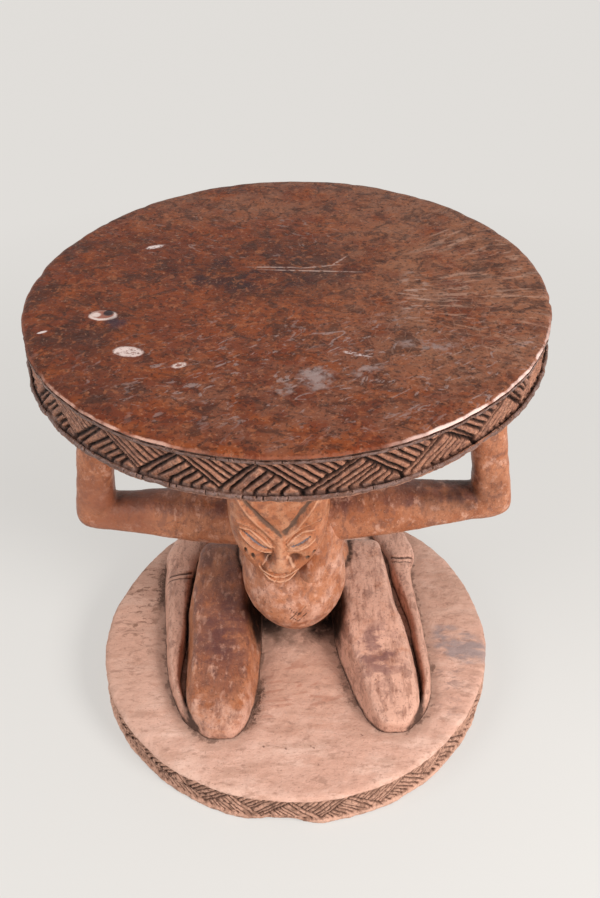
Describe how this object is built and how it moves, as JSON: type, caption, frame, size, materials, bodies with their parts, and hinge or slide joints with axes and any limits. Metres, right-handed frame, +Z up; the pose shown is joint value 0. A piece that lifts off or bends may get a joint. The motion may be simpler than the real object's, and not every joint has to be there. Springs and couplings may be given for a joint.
{
  "type": "carved wooden stool",
  "caption": "Round wooden stool: a carved kneeling figure on a round base holds up a round dished seat with its head and both hands; carved zigzag borders.",
  "frame": {"origin": "centre of the underside of the base, on the floor", "axes": "+Z up to the seat, the figure faces -Y, +X to the figure's left hand"},
  "size_m": [0.3286, 0.3286, 0.35],
  "materials": {
    "seat_patina": "dark, hand-polished hardwood with a low gloss",
    "border_patina": "carved hardwood, brown ridges and dark grooves",
    "base_wood": "bare pale hardwood, dry and matte",
    "base_border_wood": "carved hardwood, worn and dirty in the cuts",
    "figure_polish": "orange-brown hardwood with a soft handled sheen"
  },
  "bodies": {
    "root": {"seat_slab": "seat_patina", "seat_border": "border_patina", "base_slab": "base_wood", "base_border": "base_border_wood", "torso": "figure_polish", "head": "figure_polish", "coiffure": "figure_polish", "neck": "figure_polish", "left_ear": "figure_polish", "left_breast": "figure_polish", "left_buttock": "figure_polish", "left_upper_arm": "figure_polish", "left_forearm": "figure_polish", "left_hand": "figure_polish", "left_thigh": "figure_polish", "left_lower_leg": "figure_polish", "left_foot": "figure_polish", "right_ear": "figure_polish", "right_breast": "figure_polish", "right_buttock": "figure_polish", "right_upper_arm": "figure_polish", "right_forearm": "figure_polish", "right_hand": "figure_polish", "right_thigh": "figure_polish", "right_lower_leg": "figure_polish", "right_foot": "figure_polish"}
  },
  "joints": []
}
